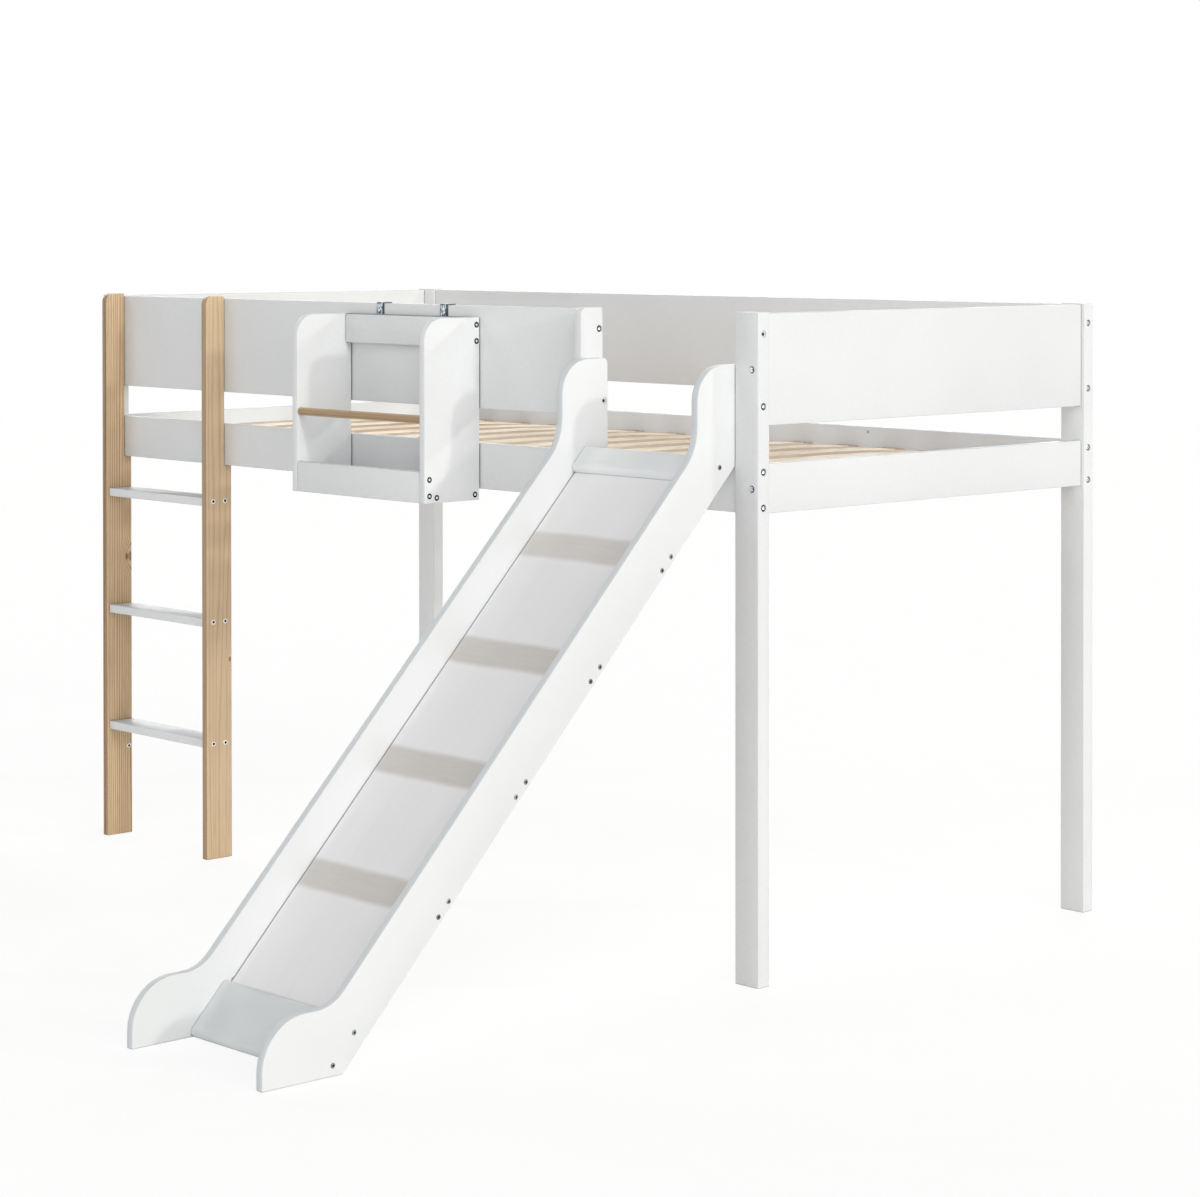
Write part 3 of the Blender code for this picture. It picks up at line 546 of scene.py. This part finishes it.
def hook_steel(name):
    """Bent bare steel: wavy grey painted reflections, and darker near the right edge, at the top
    and low on the left.
    """
    m = Finish(name)
    spots = m.noise(m.place, scale=300.0, detail=3.0)
    waves = m.noise(m.drawn_out([1.0, 1.0, 0.45]), scale=150.0, distortion=2.0)
    # Painted reflections: wavy light and dark grey
    tone = m.mix(m.between(waves, 0.42, 0.58), linear(226, 236, 242), linear(84, 98, 108))
    tone = m.mix(m.between(spots, 0.55, 0.8, to_high=0.35), tone, linear(98, 110, 120))
    cells = m.math("SUBTRACT", m.axis(m.place, "X"), HOOK_MIDDLE)
    cells = m.math("ADD", m.math("DIVIDE", cells, HOOK_PITCH), 0.5)
    cells = m.math("SUBTRACT", m.math("FRACT", cells), 0.5)
    across = m.times(cells, HOOK_PITCH)
    level = m.axis(m.place, "Z")
    right = m.between(across, *HOOK_RIGHT_EDGE)
    left = m.times(m.between(across, *HOOK_LEFT_EDGE), m.between(level, *HOOK_LEFT_TOP))
    cap = m.times(m.between(level, *HOOK_CAP_LEVEL), m.between(across, *HOOK_CAP_EDGE))
    dark = m.math("MAXIMUM", m.math("MAXIMUM", right, left), cap)
    tone = m.mix(m.times(dark, 0.88), tone, linear(38, 46, 54))
    gloss = m.between(spots, 0.3, 0.75, 0.30, 0.48)
    return m.finish(tone, gloss, m.bump(waves, strength=0.25, distance=0.0006), Metallic=0.55)


def dark_gap(name, dark=GAP_DARK, pale=GAP_PALE):
    """The shadowed ring and recess of a fastener, with a little dust in it."""
    m = Finish(name)
    dust = m.noise(m.place, scale=900.0)
    tone = m.mix(m.spread(dust), dark, pale)
    relief = m.bump(dust, strength=0.3, distance=0.0003)
    return m.finish(tone, m.spread(dust, 0.6, 0.85), relief, Specular_IOR_Level=0.05)


def bolt_finish(name, centre, axis, dark_core):
    """A bolt head that looks along an axis.

    It is bright and plated, with painted shadow on one side and in its key hole, or in a ring
    where it looks along X. With a dark core it is pale at its rim only.
    """
    m = Finish(name)
    flat = one_axis(axis, 0.0)
    reach = m.distance(centre, flat)
    spots = m.noise(m.place, scale=500.0, detail=3.0)
    blotches = m.between(spots, 0.35, 0.75)
    if dark_core:
        tone = m.mix(blotches, linear(232, 234, 236), linear(218, 221, 224))
        shade = m.between(reach, *DARK_BOLT_CORE)
    else:
        tone = m.mix(blotches, linear(252, 253, 254), linear(242, 244, 246))
        if axis == X_AXIS:
            aside = m.distance(centre + Vector((0.0, BOLT_SHADE_STEP, 0.0)), flat)
            edge = m.between(aside, *SIDE_BOLT_EDGE)
            inner = m.times(m.between(reach, *SIDE_BOLT_RING), SIDE_BOLT_RING_SHARE)
        else:
            aside = m.distance(centre - Vector((BOLT_SHADE_STEP, 0.0, 0.0)), flat)
            edge = m.between(aside, *BOLT_EDGE)
            inner = m.between(reach, *BOLT_KEY)
        shade = m.math("MAXIMUM", edge, inner)
    tone = m.mix(m.times(shade, BOLT_DARKNESS), tone, linear(30, 34, 40))
    gloss = m.between(spots, 0.3, 0.75, 0.14, 0.28)
    shine = 0.0 if dark_core else 1.0
    return m.finish(tone, gloss, m.bump(spots, strength=0.15, distance=0.0002), Metallic=shine)


def smooth_shown(node):
    """Round faces of a solid shade as round, and its flat faces and corners stay as they are."""
    mesh = node.data
    if "custom_normal" in mesh.attributes:
        mesh.attributes.remove(mesh.attributes["custom_normal"])
    for polygon in mesh.polygons:
        polygon.use_smooth = True
    weld = node.modifiers.new("joined_faces", "WELD")
    weld.merge_threshold = WELD_DISTANCE
    split = node.modifiers.new("kept_corners", "EDGE_SPLIT")
    split.split_angle = CORNER_ANGLE


def dress(node, material):
    """Gives a solid one material in place of its own."""
    node.data.materials.clear()
    node.data.materials.append(material)


def facing(outward):
    """Turns a head made around +Z so that it faces outward."""
    return outward.to_track_quat("Z", "Y").to_matrix().to_4x4()


def ring_of(shape, radius, height):
    """A circle of new points at one height."""
    points = []
    for index in range(HEAD_SEGMENTS):
        angle = 2 * math.pi * index / HEAD_SEGMENTS
        place = (radius * math.cos(angle), radius * math.sin(angle), height)
        points.append(shape.verts.new(place))
    return points


def joined(shape, lower, upper, slot):
    """Adds the faces between two loops of as many points."""
    count = len(lower)
    for index in range(count):
        after = (index + 1) % count
        face = shape.faces.new((lower[index], lower[after], upper[after], upper[index]))
        face.material_index = slot


def recess_outline(kind, reach, half):
    """The recess seen from above, a hexagon or a cross."""
    if kind == "hexagon":
        angles = [math.pi * corner / 3 for corner in range(6)]
        return [(reach * math.cos(angle), reach * math.sin(angle)) for angle in angles]
    outline = []
    for quarter in range(4):
        turn = Matrix.Rotation(quarter * math.pi / 2, 2)
        for point in ((reach, -half), (reach, half), (half, half)):
            outline.append(tuple(turn @ Vector(point)))
    return outline


def head_shape(sizes):
    """A low domed head in a dark ring of painted shadow, with a recess sunk into it, as a closed
    mesh.
    """
    shape = bmesh.new()
    base = ring_of(shape, sizes.ring, -SINK)
    gap = ring_of(shape, sizes.ring, RING_LIP)
    edge = ring_of(shape, sizes.radius, RING_LIP)
    shoulder, dome, crown = [
        ring_of(shape, sizes.radius * across, sizes.height * up) for across, up in HEAD_PROFILE
    ]
    joined(shape, base, gap, SHADOW_SLOT)
    joined(shape, gap, edge, SHADOW_SLOT)
    joined(shape, edge, shoulder, METAL_SLOT)
    joined(shape, shoulder, dome, METAL_SLOT)
    joined(shape, dome, crown, METAL_SLOT)
    shape.faces.new(tuple(reversed(base))).material_index = SHADOW_SLOT
    outline = recess_outline(sizes.recess, sizes.reach, sizes.half)
    mouth = [shape.verts.new((x, y, sizes.height)) for x, y in outline]
    floor = [shape.verts.new((x * RECESS_TAPER, y * RECESS_TAPER, RECESS_FLOOR))
             for x, y in outline]
    joined(shape, mouth[::-1], floor[::-1], SHADOW_SLOT)
    shape.faces.new(floor).material_index = SHADOW_SLOT
    rims = []
    for loop in (crown, mouth):
        for index, vert in enumerate(loop):
            after = loop[(index + 1) % len(loop)]
            rims.append(shape.edges.get((vert, after)) or shape.edges.new((vert, after)))
    bmesh.ops.triangle_fill(shape, use_beauty=True, edges=rims, normal=(0, 0, 1))
    bmesh.ops.recalc_face_normals(shape, faces=shape.faces)
    return shape


def row_of_heads(name, body, places, outward, sizes, materials):
    """Several like heads on one face, as one piece. Each is turned a little differently."""
    whole = bmesh.new()
    for index, place in enumerate(places):
        head = head_shape(sizes)
        own_turn = Matrix.Rotation(index * HEAD_TURN, 4, "Z")
        head.transform(Matrix.Translation(place) @ facing(outward) @ own_turn)
        part = bpy.data.meshes.new("part")
        head.to_mesh(part)
        head.free()
        whole.from_mesh(part)
        bpy.data.meshes.remove(part)
    mesh = bpy.data.meshes.new(name)
    whole.to_mesh(mesh)
    whole.free()
    for material in materials:
        mesh.materials.append(material)
    piece = bpy.data.objects.new(name, mesh)
    bpy.context.scene.collection.objects.link(piece)
    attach(piece, body)


def slope_point(along, above):
    """The Y and Z of a point given by its distance up the slope and square to it."""
    y = SLIDE_SEAT.y + along * math.cos(SLOPE) - above * math.sin(SLOPE)
    z = SLIDE_SEAT.z + along * math.sin(SLOPE) + above * math.cos(SLOPE)
    return (y, z)


def at_line(x, places):
    """Points at one X, from their Y and Z."""
    return [Vector((x, y, z)) for y, z in places]


def slot_of(name):
    """The material slot of a solid, told by its name."""
    if name.startswith(("bolt_", "shelf_hook")):
        return "zinc"
    if name.startswith(("slat_", "slide_batten")):
        return "slat_pine"
    if name == "slide_sheet":
        return "milky_sheet"
    if name in ("slide_top_board", "slide_exit_board"):
        return "satin_board"
    if name.startswith("ladder_stile") or name == "shelf_rod":
        return "pine"
    return "white_paint"


def looks_of_slots():
    """The finish of each material slot, for the solids that have none of their own."""
    return {
        "pine": pine(
            "pine_right_look", Z_AXIS, linear(220, 195, 162), linear(211, 184, 150),
            PINE_BROWN, spacing=0.0086, contrast=0.32, knots=(RIGHT_KNOT,),
        ),
        "white_paint": painted("white_paint_look", PAINT_WHITE, PAINT_SHADE_AND_FLECKS, top_shade=0.6),
        "slat_pine": slat_pine("slat_pine_look"),
        "milky_sheet": milky_sheet("milky_sheet_look"),
        "satin_board": satin_board("satin_board_look", linear(231, 234, 237),
                                   linear(222, 226, 229)),
        "zinc": hook_steel("hook_steel_look"),
    }


def looks_of_solids():
    """The finishes of single solids that differ from the rest of their slot."""
    # The slide's sides: greyer narrow faces and tops, as painted shade
    slide_white = painted("slide_paint_look", PAINT_WHITE, linear(221, 225, 230),
                          rim_shade=0.8, top_shade=0.6)
    return {
        "ladder_stile_left": pine(
            "pine_left_look", Z_AXIS, linear(226, 198, 164), linear(212, 183, 147),
            linear(124, 88, 58), spacing=0.0054, contrast=0.80, knots=(LEFT_KNOT,),
        ),
        "shelf_rod": pine(
            "pine_rod_look", X_AXIS, linear(212, 188, 154), linear(200, 174, 139),
            PINE_BROWN, spacing=0.0062, contrast=0.35,
        ),
        "shelf_back_rail": painted("shelf_back_look", PAINT_WHITE, PAINT_SHADE_AND_FLECKS,
                                   line_level=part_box("shelf_back_rail")[1].z),
        # A lighter copy of the end boards' satin: the two copies are painted light and shade
        "slide_top_board": satin_board("top_board_look", linear(246, 248, 250),
                                       linear(240, 243, 245)),
        "slide_side_left": slide_white,
        "slide_side_right": slide_white,
    }


def dress_nodes():
    looks = looks_of_slots()
    own = looks_of_solids()
    # Treads: greyer tops, as painted shade
    tread_white = painted("tread_paint_look", PAINT_WHITE, PAINT_SHADE_AND_FLECKS, top_shade=0.75)
    for name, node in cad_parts.items():
        if name.startswith("ladder_tread"):
            own[name] = tread_white
        if name.startswith("bolt_"):
            low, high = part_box(name)
            sizes = high - low
            axis = max(range(3), key=lambda index: sizes[index])
            own[name] = bolt_finish(f"{name}_look", (low + high) / 2, axis, name in DARK_BOLTS)
        dress(node, own.get(name, looks[slot_of(name)]))
        smooth_shown(node)


def add_ladder_screws(materials):
    low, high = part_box("ladder_stile_left")
    right_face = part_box("ladder_stile_right")[1].x
    places = [(y, z) for z in LADDER_SCREW_LEVELS for y in LADDER_SCREW_LINES]
    row_of_heads("screws_ladder_right", "frame", at_line(right_face, places), RIGHTWARDS,
                 LADDER_SCREW, materials)
    row_of_heads("screws_ladder_left", "frame", at_line(low.x, places), LEFTWARDS,
                 LADDER_SCREW, materials)
    row_of_heads("screw_ladder_left_inner", "frame", at_line(high.x, INNER_SCREW_PLACES),
                 RIGHTWARDS, INNER_SCREW, materials)


def add_slide_and_shelf_screws(slide_materials, shelf_materials):
    slide_places = [slope_point(place + step, SLIDE_SCREW_ABOVE)
                    for place in BATTEN_PLACES for step in SLIDE_SCREW_STEPS]
    slide_places += SLIDE_END_PLACES
    for side, outward in (("left", LEFTWARDS), ("right", RIGHTWARDS)):
        low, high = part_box(f"slide_side_{side}")
        x = high.x if side == "right" else low.x
        row_of_heads(f"screws_slide_{side}", "frame", at_line(x, slide_places), outward, SCREW,
                     slide_materials)
        low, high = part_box(f"shelf_side_{side}")
        x = high.x if side == "right" else low.x
        row_of_heads(f"screws_shelf_{side}", "shelf", at_line(x, SHELF_SCREW_PLACES), outward,
                     SHELF_SCREW, shelf_materials)


def add_slat_screws(materials):
    for end, inset in SLAT_SCREW_INSETS:
        places = []
        for index in range(1, SLAT_COUNT + 1):
            low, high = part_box(f"slat_{index:02d}")
            middle = (low.x + high.x) / 2
            y = (low.y if end == "front" else high.y) + inset
            level = low.z + SLAT_SCREW_LEVEL
            places += [Vector((middle + step, y, level)) for step in SLAT_SCREW_STEPS]
        row_of_heads(f"screws_slats_{end}", "frame", places, UPWARDS, SLAT_SCREW, materials)


def add_post_bolts(materials):
    """The bolts in the seats of the two back posts and the front left one."""
    for post, line, outward, ahead in (
        ("post_back_right", BACK_POST_LINE, RIGHTWARDS, BACKWARDS),
        ("post_back_left", BACK_POST_LINE, LEFTWARDS, BACKWARDS),
        ("post_front_left", FRONT_POST_LINE, LEFTWARDS, FORWARDS),
    ):
        low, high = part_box(post)
        x = high.x if outward == RIGHTWARDS else low.x
        places = [Vector((x, line, z)) - outward * BOLT_SEAT_DEPTH for z in POST_BOLT_LEVELS]
        row_of_heads(f"bolts_{post}", "frame", places, outward, SUNK_BOLT, materials)
        across = -END_BOLT_LINE if outward == LEFTWARDS else END_BOLT_LINE
        y = low.y if ahead == FORWARDS else high.y
        places = [Vector((across, y, z)) - ahead * BOLT_SEAT_DEPTH for z in END_BOLT_LEVELS]
        row_of_heads(f"bolts_{post}_end", "frame", places, ahead, SUNK_BOLT, materials)


def add_fasteners():
    gap = dark_gap("countersink_look")
    deep = dark_gap("deep_gap_look", DEEP_DARK, DEEP_PALE)
    hollow = (metal("hollow_look", linear(250, 250, 248), linear(236, 236, 234), 0.34), deep)
    ringed = (metal("ringed_look", linear(250, 251, 252), linear(232, 235, 238), 0.30), deep)
    dull = (metal("dull_look", linear(180, 184, 190), linear(124, 130, 136), 0.42), deep)
    black = (dark_gap("black_look"), gap)
    faint = (metal("mark_look", linear(200, 201, 208), linear(182, 183, 190), 0.5),
             dark_gap("mark_gap_look", linear(150, 150, 154), linear(168, 168, 172)))
    blunt = (metal("slat_screw_look", linear(176, 160, 138), linear(146, 128, 106), 0.5),
             dark_gap("slat_gap_look", linear(120, 100, 80), linear(150, 126, 100)))

    add_ladder_screws(hollow)
    add_slide_and_shelf_screws(dull, ringed)
    inner_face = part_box("slide_side_left")[1].x
    row_of_heads("screw_slide_left_inner", "frame", at_line(inner_face, SLIDE_MARK_PLACES),
                 RIGHTWARDS, MARK, faint)
    add_slat_screws(blunt)
    mark = Vector((RAIL_MARK_LINE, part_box("rail_back")[0].y, RAIL_MARK_LEVEL))
    row_of_heads("mark_rail_back", "frame", [mark], FORWARDS, MARK, faint)
    front_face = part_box("guard_back")[0].y
    nuts = [Vector((x, front_face, z)) for x in NUT_LINES for z in NUT_LEVELS]
    row_of_heads("nuts_guard_back", "frame", nuts, FORWARDS, NUT, black)
    add_post_bolts(ringed)


def add_floor():
    shape = bmesh.new()
    corners = [shape.verts.new((x * FLOOR_HALF, y * FLOOR_HALF, 0)) for x, y in
               ((-1, -1), (1, -1), (1, 1), (-1, 1))]
    shape.faces.new(corners)
    mesh = bpy.data.meshes.new("studio_floor")
    shape.to_mesh(mesh)
    shape.free()
    floor = bpy.data.objects.new("studio_floor", mesh)
    bpy.context.scene.collection.objects.link(floor)

    m = Finish("studio_floor_look")
    specks = m.noise(m.place, scale=8.0)
    tone = m.mix(m.spread(specks), linear(240, 240, 240), linear(243, 243, 243))
    lit = m.add("ShaderNodeBsdfDiffuse", {"Color": tone})
    white = m.add("ShaderNodeEmission", {"Strength": FLOOR_GLOW})
    rays = m.add("ShaderNodeLightPath")
    seen = m.math("MAXIMUM", rays.outputs["Is Camera Ray"], rays.outputs["Is Glossy Ray"])
    seen = m.math("MAXIMUM", seen, rays.outputs["Is Transmission Ray"])
    both = m.add("ShaderNodeMixShader", {"Fac": m.times(seen, 1 - FLOOR_SHADOW_SHARE)})
    m.tree.links.new(lit.outputs[0], both.inputs[1])
    m.tree.links.new(white.outputs[0], both.inputs[2])
    output = m.add("ShaderNodeOutputMaterial")
    m.tree.links.new(both.outputs[0], output.inputs["Surface"])
    mesh.materials.append(m.material)


def add_world():
    """A weak white light from all around, which the camera and reflections see as plain white."""
    world = bpy.data.worlds.new("studio")
    bpy.context.scene.world = world
    world.use_nodes = True
    tree = world.node_tree
    tree.nodes.clear()
    rays = tree.nodes.new("ShaderNodeLightPath")
    seen = rays.outputs["Is Camera Ray"]
    for ray in ("Is Glossy Ray", "Is Transmission Ray"):
        either = tree.nodes.new("ShaderNodeMath")
        either.operation = "MAXIMUM"
        tree.links.new(seen, either.inputs[0])
        tree.links.new(rays.outputs[ray], either.inputs[1])
        seen = either.outputs[0]
    strength = tree.nodes.new("ShaderNodeMapRange")
    strength.inputs["To Min"].default_value = WORLD_STRENGTH
    strength.inputs["To Max"].default_value = SHOWN_STRENGTH
    sky = tree.nodes.new("ShaderNodeBackground")
    sky.inputs["Color"].default_value = (1.0, 1.0, 1.0, 1.0)
    output = tree.nodes.new("ShaderNodeOutputWorld")
    tree.links.new(seen, strength.inputs["Value"])
    tree.links.new(strength.outputs[0], sky.inputs["Strength"])
    tree.links.new(sky.outputs[0], output.inputs["Surface"])


def add_lamp(name, travels, strength, spread, tint):
    """A far light whose rays travel in one main direction."""
    lamp = bpy.data.lights.new(name, "SUN")
    lamp.energy = strength
    lamp.color = tint
    lamp.angle = math.radians(spread)
    source = bpy.data.objects.new(name, lamp)
    source.rotation_euler = Vector(travels).to_track_quat("-Z", "Y").to_euler()
    bpy.context.scene.collection.objects.link(source)


def add_camera():
    lens = bpy.data.cameras.new("camera")
    lens.sensor_fit = "HORIZONTAL"
    lens.sensor_width = SENSOR
    lens.lens = LENS
    lens.shift_x = SHIFT_ACROSS
    lens.shift_y = SHIFT_UP
    lens.clip_end = CLIP_END
    camera = bpy.data.objects.new("camera", lens)
    camera.location = CAMERA_PLACE
    camera.rotation_euler = (CAMERA_PITCH, CAMERA_ROLL, CAMERA_HEADING)
    bpy.context.scene.collection.objects.link(camera)
    bpy.context.scene.camera = camera


dress_nodes()
add_fasteners()
add_floor()
add_world()
for lamp_name, lamp_values in LAMPS.items():
    add_lamp(lamp_name, *lamp_values)
add_camera()
bpy.context.scene.view_settings.view_transform = "Standard"
